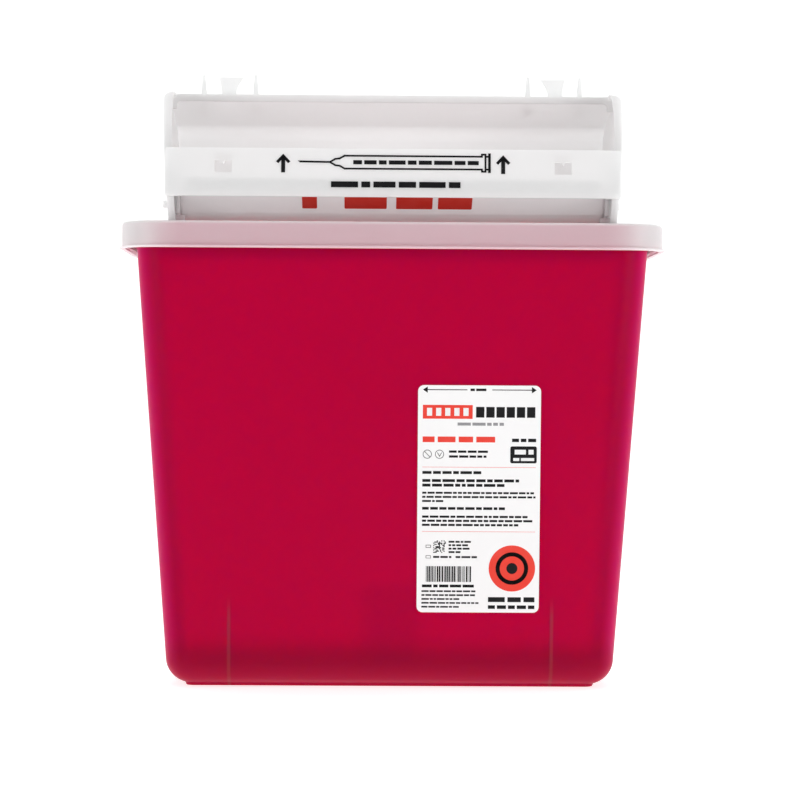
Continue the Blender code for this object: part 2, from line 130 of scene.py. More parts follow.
RECESS_DEPTH = 0.0007
TRAY_THICKNESS = 0.0015
END_PLATE_INNER_X = 0.1076
END_PLATE_OUTER_X = 0.1092
SEAT_HALF_X = 0.1040
WEB_X = 0.0685
WEB_HALF_THICKNESS = 0.0006
LOCK_TAB_X = 0.0864
LOCK_TAB_THICKNESS = 0.0016
LOCK_TAB_Y = 0.0081           # behind the pivot
FAN_OUTER_SIDE = (0.0035, 0.0016)           # half the neck's width, the fan's lean out from it
FAN_INNER_SIDE = (0.0042, 0.0039)

# ---- label and prints ----
LABEL_CORNER_RADIUS = 0.0030
LABEL_GAP = 0.0003
LABEL_THICKNESS = 0.0003
INK = 0.00004                 # thickness of a printed film

# ---- camera ----
IMAGE_WIDTH = 800
FOCAL_LENGTH = 2600           # in widths of a pixel
CAMERA_PLACE = (-0.0165, -1.3605, 0.1493)
CAMERA_TURN = (90 - 0.115, -0.35, -0.9)     # degrees: tilt from straight down, roll, turn

# ---- shared ----
SHARP_ANGLE = 38              # degrees from which an edge stays sharp
BODY = "container"
TRAY = "tray"


# ---------------------------------------- outlines
def arc(centre, radius, start, end, steps):
    """Points of an arc in a plane, angles in degrees."""
    points = []
    for step in range(steps + 1):
        angle = math.radians(start + (end - start) * step / steps)
        points.append((centre[0] + radius * math.cos(angle), centre[1] + radius * math.sin(angle)))
    return points


def fillet(before, corner, after, radius, steps=8):
    """Points that round the corner between two straight lines."""
    corner = Vector(corner)
    back = (Vector(before) - corner).normalized()
    ahead = (Vector(after) - corner).normalized()
    half_angle = back.angle(ahead) / 2
    reach = radius / math.tan(half_angle)
    centre = corner + (back + ahead).normalized() * (radius / math.sin(half_angle))
    first = corner + back * reach - centre
    last = corner + ahead * reach - centre
    sweep = first.angle_signed(last)
    points = []
    for step in range(steps + 1):
        turn = -sweep * step / steps
        spoke = Vector((first.x * math.cos(turn) - first.y * math.sin(turn),
                        first.x * math.sin(turn) + first.y * math.cos(turn)))
        points.append(tuple(centre + spoke))
    return points


def rounded_rectangle(half_x, half_y, radius, corner_steps=14):
    """Outline of a rectangle round the origin, with rounded corners."""
    points = []
    for sign_x, sign_y, start in ((1, 1, 0), (-1, 1, 90), (-1, -1, 180), (1, -1, 270)):
        centre = (sign_x * (half_x - radius), sign_y * (half_y - radius))
        points += arc(centre, radius, start, start + 90, corner_steps)
    return points


def band_point(along, distance):
    """A point (y, z) from the pivot, along the band's tilted height and away from the pivot."""
    cosine, sine = math.cos(BAND_TILT), math.sin(BAND_TILT)
    return (-cosine * distance + sine * along, sine * distance + cosine * along)


# ---------------------------------------- solids
def prism(outline, place, start, end):
    """Extrude a closed outline. place(u, v, w) gives the position of outline point (u, v) at height w."""
    builder = bmesh.new()
    lower = [builder.verts.new(place(u, v, start)) for u, v in outline]
    upper = [builder.verts.new(place(u, v, end)) for u, v in outline]
    builder.faces.new(lower)
    builder.faces.new(upper)
    for i in range(len(outline)):
        builder.faces.new((lower[i - 1], lower[i], upper[i], upper[i - 1]))
    return builder


def along_x(u, v, w):
    return (w, u, v)


def along_y(u, v, w):
    return (u, w, v)


def along_z(u, v, w):
    return (u, v, w)


def box(low, high):
    outline = [(low[0], low[1]), (high[0], low[1]), (high[0], high[1]), (low[0], high[1])]
    return prism(outline, along_z, low[2], high[2])


def loft(sections):
    """A closed body through rounded rectangles, given as (height, half width, corner radius)."""
    builder = bmesh.new()
    rings = []
    for height, half_x, radius in sections:
        outline = rounded_rectangle(half_x, half_x - PLAN_DIFFERENCE, radius)
        rings.append([builder.verts.new((x, y, height)) for x, y in outline])
    for lower, upper in zip(rings, rings[1:]):
        for i in range(len(lower)):
            builder.faces.new((lower[i - 1], lower[i], upper[i], upper[i - 1]))
    builder.faces.new(rings[0])
    builder.faces.new(rings[-1])
    return builder


def new_object(name, builder, material=None, location=(0, 0, 0)):
    """Turn a bmesh into an object with its faces pointing out."""
    bmesh.ops.recalc_face_normals(builder, faces=builder.faces)
    mesh = bpy.data.meshes.new(name)
    builder.to_mesh(mesh)
    builder.free()
    item = bpy.data.objects.new(name, mesh)
    item.location = location
    bpy.context.scene.collection.objects.link(item)
    if material:
        mesh.materials.append(material)
    return item


def join_shape(target, tool, operation):
    """Cut the tool out of the target, or add it, or keep what both share, and drop the tool."""
    modifier = target.modifiers.new(tool.name, "BOOLEAN")
    modifier.operation = operation
    modifier.solver = "EXACT"
    modifier.object = tool
    bake_modifiers(target)
    bpy.data.objects.remove(tool, do_unlink=True)


def join_at_pivot(target, name, builder, operation):
    """Join a tool whose coordinates start at the pivot."""
    join_shape(target, new_object(name, builder, None, PIVOT), operation)


def bake_modifiers(item):
    """Replace an object's mesh by what its modifiers make of it."""
    view = bpy.context.evaluated_depsgraph_get()
    finished = bpy.data.meshes.new_from_object(item.evaluated_get(view))
    slots = [face.material_index for face in finished.polygons]
    finished.materials.clear()
    for material in item.data.materials:
        finished.materials.append(material)
    finished.polygons.foreach_set("material_index", slots)
    item.modifiers.clear()
    item.data = finished


def soften(item, width):
    """Round every sharp edge a little, then shade the piece smooth."""
    builder = bmesh.new()
    builder.from_mesh(item.data)
    bmesh.ops.remove_doubles(builder, verts=builder.verts, dist=0.00001)
    bmesh.ops.dissolve_limit(builder, angle_limit=math.radians(0.6), verts=builder.verts, edges=builder.edges)
    builder.to_mesh(item.data)
    builder.free()
    bevel = item.modifiers.new("soft_edges", "BEVEL")
    bevel.width = width
    bevel.segments = 2
    bevel.limit_method = "ANGLE"
    bevel.angle_limit = math.radians(SHARP_ANGLE)
    bevel.use_clamp_overlap = True
    bevel.miter_outer = "MITER_ARC"
    bake_modifiers(item)
    smooth(item)


def smooth(item, angle=SHARP_ANGLE):
    """Shade smooth, apart from edges sharper than the angle, in degrees."""
    item.data.shade_smooth()
    item.data.set_sharp_from_angle(angle=math.radians(angle))
    weighted = item.modifiers.new("weighted_normals", "WEIGHTED_NORMAL")
    weighted.keep_sharp = True


def finish_piece(piece, body, slot, *nodes):
    """Say which body the piece rides on and the CAD nodes that it stands for, which are hidden; slot, the
    material slot, is not used.
    """
    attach(piece, body)
    if nodes:
        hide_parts(*nodes)


# ---------------------------------------- materials
def set_inputs(node, values):
    """Set a node's own sockets by name."""
    for name, value in values.items():
        node.inputs[name].default_value = value


def start_material(name):
    """A new material, its nodes and links, and its shader."""
    material = bpy.data.materials.new(name)
    material.use_nodes = True
    nodes = material.node_tree.nodes
    return material, nodes, material.node_tree.links, nodes["Principled BSDF"]


def surface_grain(nodes, links, shader, scale, strength, distance):
    """Fine moulded grain: noise as bump. Returns the node that gives object coordinates."""
    place = nodes.new("ShaderNodeTexCoord")
    grain = nodes.new("ShaderNodeTexNoise")
    set_inputs(grain, {"Scale": scale, "Detail": 4.0})
    links.new(place.outputs["Object"], grain.inputs["Vector"])
    bump = nodes.new("ShaderNodeBump")
    set_inputs(bump, {"Strength": strength, "Distance": distance})
    links.new(grain.outputs["Fac"], bump.inputs["Height"])
    links.new(bump.outputs["Normal"], shader.inputs["Normal"])
    return place


def vary(nodes, links, place, scale, low, high):
    """A slow change between two values over the surface."""
    noise = nodes.new("ShaderNodeTexNoise")
    set_inputs(noise, {"Scale": scale, "Detail": 3.0})
    links.new(place.outputs["Object"], noise.inputs["Vector"])
    return ramp(nodes, links, noise.outputs["Fac"], 0.3, 0.7, low, high, "LINEAR")


def mix_colours(nodes, links, factor, first, second):
    """Mix two colours, each an (r, g, b) or the output of another node."""
    mix = nodes.new("ShaderNodeMix")
    mix.data_type = "RGBA"
    links.new(factor, mix.inputs["Factor"])
    for number, colour in ((6, first), (7, second)):
        if isinstance(colour, tuple):
            mix.inputs[number].default_value = (*colour, 1)
        else:
            links.new(colour, mix.inputs[number])
    return mix.outputs[2]


def ramp(nodes, links, value, start, end, low, high, kind="SMOOTHSTEP"):
    """A change from low to high as the value goes from start to end."""
    spread = nodes.new("ShaderNodeMapRange")
    spread.interpolation_type = kind
    set_inputs(spread, {"From Min": start, "From Max": end, "To Min": low, "To Max": high})
    links.new(value, spread.inputs["Value"])
    return spread.outputs["Result"]


def combine(nodes, links, operation, first, second):
    """A Math node on two sockets, or on a socket and a number."""
    node = nodes.new("ShaderNodeMath")
    node.operation = operation
    links.new(first, node.inputs[0])
    if isinstance(second, (int, float)):
        node.inputs[1].default_value = second
    else:
        links.new(second, node.inputs[1])
    return node.outputs["Value"]


def coordinates(nodes, links, place):
    """Object coordinates of a surface point as three sockets."""
    split = nodes.new("ShaderNodeSeparateXYZ")
    links.new(place.outputs["Object"], split.inputs["Vector"])
    return split.outputs


def lid_painted_rim_glow(nodes, links, place):
    """Painted glow: the red rim's light shows through the skirt as a pink tint, less on the deck and at the
    ends, where the rim curves away.
    """
    x, _, z = coordinates(nodes, links, place)
    along = ramp(nodes, links, combine(nodes, links, "ABSOLUTE", x, 0), 0.105, 0.134, 0.60, 0.24)
    on_skirt = ramp(nodes, links, z, LID_TOP - 0.002, LID_TOP, 1.0, 0.55)
    return combine(nodes, links, "MULTIPLY", along, on_skirt)


def tray_painted_red_glow(nodes, links, place):
    """Light from the red bin below warms the tray's underside."""
    x, _, z = coordinates(nodes, links, place)
    rise = ramp(nodes, links, z, -0.0065, 0.0060, 0.26, 0.12)
    along = ramp(nodes, links, combine(nodes, links, "ABSOLUTE", x, 0), 0.070, 0.110, 1.0, 0.75)
    return combine(nodes, links, "MULTIPLY", rise, along)


def red_plastic(name, clearness, tint, colour=(0.60, 0.0, 0.115)):
    """Translucent red polypropylene, satin from the mould: light soaks through, the far wall shows faintly.

    clearness is the share of light that goes straight through, and tint is its colour. Towards the base and
    round the corners the plastic is denser. The colour darkens towards the base, painted shade where the base
    edge and floor show through, and the two gussets show as darker lines of painted shade.
    """
    material, nodes, links, shader = start_material(name)
    place = surface_grain(nodes, links, shader, 900.0, 0.10, 0.0002)
    deeper = tuple(value * 1.05 for value in colour)
    tone = mix_colours(nodes, links, vary(nodes, links, place, 9.0, 0.0, 1.0), colour, deeper)
    x, y, height = coordinates(nodes, links, place)
    # Painted shade: the colour turns darker towards the base, where the base edge and floor show through the
    # wall.
    painted_base_shade = ramp(nodes, links, height, 0.003, 0.030, 1.0, 0.0)
    tone = mix_colours(nodes, links, painted_base_shade, tone, (0.45, 0.006, 0.052))
    away = combine(nodes, links, "ABSOLUTE", x, 0)
    # Painted shade: darker lines down the front wall where the gussets behind it meet the wall.
    from_gusset = combine(nodes, links, "ABSOLUTE", combine(nodes, links, "SUBTRACT", away, GUSSET_X), 0)
    gusset = ramp(nodes, links, from_gusset, 0.0004, 0.0014, 0.7, 0.0)
    gusset = combine(nodes, links, "MULTIPLY", gusset, ramp(nodes, links, height, 0.035, 0.050, 1.0, 0.0))
    gusset = combine(nodes, links, "MULTIPLY", gusset, ramp(nodes, links, y, -0.015, -0.010, 1.0, 0.0))
    tone = mix_colours(nodes, links, gusset, tone, (0.30, 0.035, 0.045))
    beside = combine(nodes, links, "SUBTRACT", away, combine(nodes, links, "MULTIPLY", height, DRAFT))
    corner = ramp(nodes, links, beside, BASE_HALF_X - 0.0090, BASE_HALF_X - 0.0015, 1.0, 0.35)
    solid = combine(nodes, links, "MULTIPLY", corner, ramp(nodes, links, gusset, 0.0, 1.0, 1.0, 0.0))
    links.new(tone, shader.inputs["Base Color"])
    links.new(vary(nodes, links, place, 25.0, 0.30, 0.38), shader.inputs["Roughness"])
    set_inputs(shader, {"Subsurface Weight": 1.0, "Subsurface Radius": (1.0, 0.10, 0.20),
                        "Subsurface Scale": 0.002, "Specular IOR Level": 0.1, "IOR": 1.45})
    clear = nodes.new("ShaderNodeBsdfTransparent")
    clear.inputs["Color"].default_value = (*tint, 1)
    blend = nodes.new("ShaderNodeMixShader")
    low = ramp(nodes, links, height, 0.002, 0.020, clearness * 0.35, clearness)
    links.new(combine(nodes, links, "MULTIPLY", low, solid), blend.inputs["Fac"])
    links.new(shader.outputs["BSDF"], blend.inputs[1])
    links.new(clear.outputs["BSDF"], blend.inputs[2])
    links.new(blend.outputs["Shader"], nodes["Material Output"].inputs["Surface"])
    return material


def natural_plastic(name, depth, painted_glow=None, painted_tint=None):
    """Milky, unpigmented polypropylene: light scatters through the thin walls.

    depth is how far light soaks in. The glow function, called with (nodes, links, place), gives the share of
    the tint colour that shows: painted light for red light from the bin that passes through the thin walls.
    """
    material, nodes, links, shader = start_material(name)
    place = surface_grain(nodes, links, shader, 700.0, 0.08, 0.0002)
    patches = vary(nodes, links, place, 14.0, 0.0, 1.0)
    tone = mix_colours(nodes, links, patches, (0.94, 0.955, 0.95), (0.965, 0.975, 0.97))
    # Painted light: a pink tint for red light from the bin that passes through the walls.
    if painted_glow:
        tone = mix_colours(nodes, links, painted_glow(nodes, links, place), tone, painted_tint)
    links.new(tone, shader.inputs["Base Color"])
    links.new(vary(nodes, links, place, 30.0, 0.36, 0.46), shader.inputs["Roughness"])
    set_inputs(shader, {"Subsurface Weight": 1.0, "Subsurface Radius": (1.0, 1.0, 1.0),
                        "Subsurface Scale": depth, "Specular IOR Level": 0.35, "IOR": 1.45})
    return material


def paper():
    """White coated label stock."""
    material, nodes, links, shader = start_material("label_paper")
    place = surface_grain(nodes, links, shader, 1500.0, 0.05, 0.0001)
    patches = vary(nodes, links, place, 18.0, 0.0, 1.0)
    tone = mix_colours(nodes, links, patches, (0.95, 0.95, 0.95), (0.98, 0.98, 0.98))
    links.new(tone, shader.inputs["Base Color"])
    links.new(vary(nodes, links, place, 40.0, 0.42, 0.52), shader.inputs["Roughness"])
    return material


def ink(name, colour, spread=0.02):
    """Screen-printed ink with slightly uneven cover: spread is how much lighter it gets in places."""
    material, nodes, links, shader = start_material(name)
    place = surface_grain(nodes, links, shader, 2500.0, 0.04, 0.0001)
    lighter = tuple(min(1.0, value + spread) for value in colour)
    tone = mix_colours(nodes, links, vary(nodes, links, place, 120.0, 0.0, 1.0), colour, lighter)
    links.new(tone, shader.inputs["Base Color"])
    set_inputs(shader, {"Roughness": 0.5, "Specular IOR Level": 0.15})
    return material


RED = red_plastic("red_polypropylene", 0.60, (0.93, 0.0, 0.24))
# A darker, less clear copy of the red for the faces of the gussets, the block and the pocket: painted shade,
# so they show darker through the wall.
RED_RIB_SHADED = red_plastic("red_polypropylene_rib_shaded", 0.45, (0.93, 0.0, 0.18), (0.50, 0.0, 0.05))
NATURAL = natural_plastic("natural_polypropylene", 0.007)
BAND_NATURAL = natural_plastic("natural_polypropylene_band", 0.0025)
# Painted glow: a pink tint on the lid where the red rim's light shows through the skirt.
LID_NATURAL = natural_plastic("natural_polypropylene_lid", 0.004, lid_painted_rim_glow, (0.55, 0.20, 0.28))
# Painted light: a pink tint for the red bin's light on the tray's underside.
TRAY_NATURAL = natural_plastic("natural_polypropylene_tray", 0.010, tray_painted_red_glow, (1.0, 0.36, 0.46))
PAPER = paper()
BLACK_INK = ink("black_ink", (0.006, 0.006, 0.007), 0.006)
RED_INK = ink("red_ink", (0.85, 0.055, 0.035))
WHITE_INK = ink("white_ink", (0.90, 0.90, 0.90))
GREY_INK = ink("grey_ink", (0.30, 0.30, 0.31))


# ---------------------------------------- bin
def wall_line(height):
    """Half the bin's width at a height."""
    return BASE_HALF_X + DRAFT * height


def base_edge(inset):
    """Sections round the bottom edge of the bin, inset from the outside surface."""
    sections = []
    centre_height = FOOT_HEIGHT + BASE_EDGE_RADIUS
    first_angle, steps = 15, 12
    for step in range(steps + 1):
        angle = math.radians(first_angle + (90 - first_angle) * step / steps)
        height = centre_height - (BASE_EDGE_RADIUS - inset) * math.cos(angle)
        offset = (BASE_EDGE_RADIUS - inset) * math.sin(angle) - BASE_EDGE_RADIUS
        sections.append((height, wall_line(height) + offset, CORNER_RADIUS + offset))
    return sections


def rim_section(height, reach):
    """A section of the rim that stands out by the reach from the wall."""
    return (height, wall_line(RIM_TOP) + reach, CORNER_RADIUS + reach)


def middle_of_wall(top):
    """Points (depth, height) down the middle of the front or back wall and round the base edge."""
    half = BIN_WALL / 2
    points = [(wall_line(top) - PLAN_DIFFERENCE - half, top)]
    for height, half_x, _ in reversed(base_edge(half)):
        points.append((half_x - PLAN_DIFFERENCE, height))
    return points


def marked_tool(name, builder, materials, location=(0, 0, 0)):
    """A tool whose faces bring the second of the target's two materials."""
    for face in builder.faces:
        face.material_index = 1
    tool = new_object(name, builder, materials[0], location)
    tool.data.materials.append(materials[1])
    return tool


def build_bin():
    """Outside and inside in one loft, then the gussets and the bracket pocket."""
    inside = -BIN_WALL
    flange_underside = RIM_TOP - BIN_WALL
    foot = wall_line(0) - FOOT_INSET
    foot_radius = CORNER_RADIUS - FOOT_INSET
    chamfer = 0.0003
    sections = [(0.0, foot - chamfer, foot_radius), (chamfer, foot, foot_radius + 0.0001),
                (FOOT_HEIGHT, foot + chamfer, foot_radius + chamfer)]
    sections += base_edge(0.0)
    sections += [
        (flange_underside - 0.0006, wall_line(flange_underside - 0.0006), CORNER_RADIUS),
        rim_section(flange_underside, 0.0006),
        rim_section(flange_underside, RIM_REACH - BIN_WALL),
        rim_section(RIM_LIP_BOTTOM, RIM_REACH - BIN_WALL),
        rim_section(RIM_LIP_BOTTOM, RIM_REACH),
        rim_section(RIM_TOP - 0.0010, RIM_REACH),
        rim_section(RIM_TOP - chamfer, RIM_REACH - chamfer),
        rim_section(RIM_TOP, RIM_REACH - 0.0010),
        rim_section(RIM_TOP, inside + 0.0008),
        rim_section(RIM_TOP - 0.0008, inside),
    ]
    sections += reversed(base_edge(BIN_WALL))
    body = new_object("bin", loft(sections), RED)
    body.data.materials.append(RED_RIB_SHADED)

    outline = [(-depth, height) for depth, height in middle_of_wall(GUSSET_TOP)]
    outline.append((GUSSET_TIP_Y, outline[-1][1]))
    for x in (-GUSSET_X, GUSSET_X):
        def tapered(u, v, w):
            return (x + w * (0.00115 - 0.016 * v), u, v)

        join_shape(body, marked_tool("gusset", prism(outline, tapered, -1, 1), (RED, RED_RIB_SHADED)), "UNION")

    inner_depth = POCKET_DEPTH - BIN_WALL
    outline = [point for point in middle_of_wall(POCKET_TOP + BIN_WALL) if point[0] > inner_depth]
    outline += [(inner_depth, outline[-1][1]), (inner_depth, POCKET_TOP + BIN_WALL)]
    reach = POCKET_HALF_X + BIN_WALL
    join_shape(body, marked_tool("block", prism(outline, along_x, -reach, reach), (RED, RED_RIB_SHADED)), "UNION")
    pocket = box((-POCKET_HALF_X, POCKET_DEPTH, -0.005), (POCKET_HALF_X, 0.060, POCKET_TOP))
    join_shape(body, marked_tool("pocket", pocket, (RED, RED_RIB_SHADED)), "DIFFERENCE")
    smooth(body, 30)
    finish_piece(body, BODY, "red_polypropylene", "bin_body")


# ---------------------------------------- lid
def build_lid():
    """Outside and inside in one loft, then the drop opening and the nubs."""
    def section(height, reach):
        return (height, SKIRT_HALF_X + reach, SKIRT_CORNER_RADIUS + reach)

    sections = []
    for degrees in (90, 75, 60, 45, 30, 15, 0):
        angle = math.radians(degrees)
        height = LID_TOP - SKIRT_EDGE_RADIUS * (1 - math.sin(angle))
        sections.append(section(height, -SKIRT_EDGE_RADIUS * (1 - math.cos(angle))))
    lip_top = LID_BOTTOM + LIP_HEIGHT
    chamfer, bead_reach = 0.0003, 0.0011
    sections += [
        section(lip_top + 0.0005, 0.0),
        section(lip_top + 0.0001, 0.0004),
        section(lip_top, LIP_REACH - chamfer),
        section(lip_top - chamfer, LIP_REACH),
        section(LID_BOTTOM + chamfer, LIP_REACH),
        section(LID_BOTTOM, LIP_REACH - chamfer),
        section(LID_BOTTOM, -LID_WALL),
        section(LID_BOTTOM + 0.0008, -LID_WALL),
        section(LID_BOTTOM + 0.0015, -LID_WALL - bead_reach),
        section(LID_BOTTOM + 0.0023, -LID_WALL),
        section(LID_TOP - LID_WALL - 0.0006, -LID_WALL),
        section(LID_TOP - LID_WALL, -LID_WALL - 0.0006),
    ]
    lid = new_object("lid", loft(sections), LID_NATURAL)

    middle_y = (DECK_OPENING_FRONT + DECK_OPENING_BACK) / 2
    half_y = (DECK_OPENING_BACK - DECK_OPENING_FRONT) / 2
    corners = rounded_rectangle(DECK_OPENING_HALF_X, half_y, DECK_OPENING_CORNER_RADIUS, 5)
    hole = prism([(x, y + middle_y) for x, y in corners], along_z, LID_TOP - 0.008, LID_TOP + 0.006)
    join_shape(lid, new_object("deck_opening", hole), "DIFFERENCE")

    nub_y = PIVOT.y - NUB_REACH
    top = LID_TOP + NUB_HEIGHT - NUB_RADIUS
    foot = LID_TOP - LID_WALL / 2
    outline = arc((nub_y, top), NUB_RADIUS, 0, 180, 14)
    outline += [(nub_y - NUB_RADIUS, foot), (nub_y + NUB_RADIUS, foot)]
    for sign in (-1, 1):
        nub = prism(outline, along_x, sign * NUB_INNER_X, sign * NUB_OUTER_X)
        join_shape(lid, new_object("stop_nub", nub), "UNION")
    smooth(lid, 32)
    finish_piece(lid, BODY, "natural_polypropylene", "lid_cover")


# ---------------------------------------- hood
def hood_half_x(height):
    """Half the hood's width at a height from the pivot."""
    return HOOD_HALF_X_BOTTOM + HOOD_FLARE * (height - DECK)


def roof_height(depth):
    """Top of the roof, from the pivot."""
    return HOOD_RADIUS - ROOF_SLOPE * (depth - ROOF_FRONT - HOOD_WALL)


def hood_side(inset, bottom):
    """Side outline (y, z) of the hood: curved front, sloping roof, straight back."""
    radius = HOOD_RADIUS - inset
    back = HOOD_BACK - inset
    drop = inset * math.hypot(1, ROOF_SLOPE)
    front_angle = 180 - math.degrees(math.asin(bottom / radius))
    points = arc((0, 0), radius, front_angle, 90, 44)
    ridge = (ROOF_FRONT + HOOD_WALL, roof_height(ROOF_FRONT + HOOD_WALL) - drop)
    corner = (back, roof_height(back) - drop)
    points += fillet(ridge, corner, (back, bottom), HOOD_BACK_CORNER_RADIUS - inset, 12)
    points.append((back, bottom))
    return points


def hood_body(inset, bottom):
    """The hood's outside, or its hollow, as a prism whose ends lean outwards with the flare."""
    def place(u, v, w):
        return (w * (hood_half_x(v) - inset + HOOD_END_OVERLAP), u, v)

    return prism(hood_side(inset, bottom), place, -1.0, 1.0)


def hood_front(inset, bottom):
    """Front outline (x, z) of the hood: flared sides and rounded top corners."""
    top = HOOD_RADIUS - inset
    right_bottom = (hood_half_x(bottom) - inset, bottom)
    right_top = (hood_half_x(top) - inset, top)
    right = [right_bottom] + fillet(right_bottom, right_top, (0, top), HOOD_TOP_CORNER_RADIUS - inset, 10)
    return right + [(-x, z) for x, z in reversed(right)]


def opening_half_x(height):
    """Half the width of the hood's front opening at a height from the pivot."""
    return OPENING_HALF_X_BOTTOM + OPENING_FLARE * (height - DECK)


def lip_outline():
    """Front outline (x, z) of the roof's lip: the hood's corners outside, the opening's corners inside."""
    edge = HOOD_RADIUS - ROOF_LIP_DEPTH
    foot = edge - 2 * OPENING_CORNER_RADIUS
    low = (opening_half_x(foot), foot)
    right = [low] + fillet(low, (opening_half_x(edge), edge), (0, edge), OPENING_CORNER_RADIUS)
    return hood_front(0.0005, foot) + [(-x, z) for x, z in right] + right[::-1]


def fin(x):
    """A fin that narrows upwards: its foot is sunk into the roof, its back slopes down."""
    tip = HOOD_HIGH.z - PIVOT.z
    half_foot, half_tip, tip_depth = 0.0019, 0.0007, 0.0018
    builder = bmesh.new()
    bmesh.ops.create_cube(builder, size=1.0)
    for vertex in builder.verts:
        right, behind, above = (value > 0 for value in vertex.co)
        half = half_tip if above else half_foot
        depth = (FIN_FRONT + tip_depth if above else FIN_BACK) if behind else FIN_FRONT
        height = tip if above else roof_height(depth) - FIN_SINK
        vertex.co = (x + (half if right else -half), depth, height)
    return builder


def drill_pin_holes(item, inner_x, outer_x):
    """Cut the pin's hole through both ends of a piece."""
    for sign in (-1, 1):
        hole = prism(arc((0, 0), PIN_HOLE_RADIUS, 0, 350, 35), along_x, sign * inner_x, sign * outer_x)
        join_at_pivot(item, "hole", hole, "DIFFERENCE")


def build_hood():
    """The shell, trimmed and hollowed, then its opening, pin holes, lip and fins."""
    bottom = DECK + FIT_GAP
    hood = new_object("hood_shell", hood_body(0.0, bottom), NATURAL, PIVOT)
    hollow = new_object("hollow", hood_body(HOOD_WALL, bottom - 0.005), None, PIVOT)
    for shape, inset in ((hood, 0.0), (hollow, HOOD_WALL)):
        outline = prism(hood_front(inset, bottom - 0.010), along_y, -0.070, 0.060)
        join_at_pivot(shape, "outline", outline, "INTERSECT")
    join_shape(hood, hollow, "DIFFERENCE")
    right = [(opening_half_x(height), height) for height in (-0.030, 0.070)]
    opening = prism(right + [(-x, z) for x, z in reversed(right)], along_y, -0.080, ROOF_FRONT)
    join_at_pivot(hood, "opening", opening, "DIFFERENCE")
    drill_pin_holes(hood, 0.108, 0.120)
    hood.data.materials.append(BAND_NATURAL)
    lip = prism(lip_outline(), along_y, ROOF_FRONT, ROOF_FRONT + HOOD_WALL)
    join_shape(hood, marked_tool("lip", lip, (NATURAL, BAND_NATURAL), PIVOT), "UNION")
    for sign in (-1, 1):
        for x in FIN_X:
            join_at_pivot(hood, "fin", fin(sign * x), "UNION")
    soften(hood, 0.0003)
    finish_piece(hood, BODY, "natural_polypropylene", "hood")


def fan_side(half_neck, lean, root):
    """One side of a lock tab (distance from its middle, height): a neck that curves out into a fan."""
    neck_top, top, corner = 0.0597, 0.0678, 0.0005
    side = [(half_neck, root)]
    for step in range(11):
        share = step / 10
        side.append((half_neck + lean * share ** 1.7, neck_top + (top - corner - neck_top) * share))
    side.append((half_neck + lean - corner, top))
    return side


def build_lock_tab(name, sign):
    half = LOCK_TAB_THICKNESS / 2
    root = roof_height(LOCK_TAB_Y) + half * ROOF_SLOPE + FIT_GAP
    outer = [(sign * (LOCK_TAB_X + u), v) for u, v in fan_side(*FAN_OUTER_SIDE, root)]
    inner = [(sign * (LOCK_TAB_X - u), v) for u, v in fan_side(*FAN_INNER_SIDE, root)]
    fan = prism(outer + inner[::-1], along_y, LOCK_TAB_Y - half, LOCK_TAB_Y + half)
    tab = new_object(f"{name}_fan", fan, NATURAL, PIVOT)
    soften(tab, 0.0002)
    finish_piece(tab, BODY, "natural_polypropylene", name)


# ---------------------------------------- tray
def tray_floor():
    """Underside of the tray (y, z): steep front panel, shallow trough, rising back."""
    trough = [(-0.0300, -0.0064), (-0.0200, -0.0083), (-0.0100, -0.0096), (0.0, -0.0098),
              (0.0100, -0.0085), (0.0200, -0.0045), (0.0448, 0.0080)]
    return [(-0.0570, 0.0073)] + trough


def thicken(points, thickness):
    """Close an open outline into a strip, adding the thickness on its upper side."""
    upper = []
    for index, point in enumerate(points):
        before = Vector(points[max(index - 1, 0)])
        after = Vector(points[min(index + 1, len(points) - 1)])
        along = (after - before).normalized()
        upper.append((point[0] - along.y * thickness, point[1] + along.x * thickness))
    return points + upper[::-1]


def end_plate_outline():
    """One end of the tray: closed behind the band, with a heel that rests on the lid's nub."""
    heel_front, heel_back, heel_bottom, heel_radius = -0.0530, -0.0470, -0.0086, 0.0030
    heel_middle = ((heel_front + heel_back) / 2, heel_bottom + heel_radius)
    outline = [(-0.0568, 0.0076), (-0.0522, 0.0092)]
    outline += arc((0, 0), 0.0525, 169, 153, 8)
    outline += [(0.0, 0.0230), (0.0443, 0.0120), (0.0448, 0.0080)]
    outline += tray_floor()[:0:-1][1:]
    outline += [(heel_back, 0.0016)] + arc(heel_middle, heel_radius, 0, -180, 14)
    outline += [(heel_front, 0.0052)]
    return outline


def build_tray():
    inside_x = END_PLATE_INNER_X + 0.0004
    strip = prism(thicken(tray_floor(), TRAY_THICKNESS), along_x, -inside_x, inside_x)
    tray = new_object("tray_moulding", strip, TRAY_NATURAL, PIVOT)
    seat_outer = BAND_OUTER - BAND_THICKNESS - FIT_GAP
    seat_inner = seat_outer - TRAY_THICKNESS
    seat_high, seat_low = 0.0009, -0.0060
    seat = [band_point(seat_high, seat_outer), band_point(seat_low, seat_outer),
            band_point(seat_low, seat_inner), band_point(seat_high, seat_inner)]
    join_at_pivot(tray, "seat", prism(seat, along_x, -SEAT_HALF_X, SEAT_HALF_X), "UNION")
    for sign in (-1, 1):
        plate = prism(end_plate_outline(), along_x, sign * END_PLATE_INNER_X, sign * END_PLATE_OUTER_X)
        join_at_pivot(tray, "plate", plate, "UNION")
        web = [band_point(-0.0055, seat_outer - 0.0004), band_point(0.0004, seat_outer - 0.0004),
               (-0.0500, 0.0045), (-0.0440, 0.0012)]
        x = sign * WEB_X
        rib = prism(web, along_x, x - WEB_HALF_THICKNESS, x + WEB_HALF_THICKNESS)
        join_at_pivot(tray, "web", rib, "UNION")
    drill_pin_holes(tray, 0.105, 0.112)
    soften(tray, 0.00025)
    finish_piece(tray, TRAY, "natural_polypropylene", "drop_tray")


def on_band(u, v, w):
    """A point w away from the pivot on the band, u along it and v up it."""
    y, z = band_point(v, w)
    return (u, y, z)


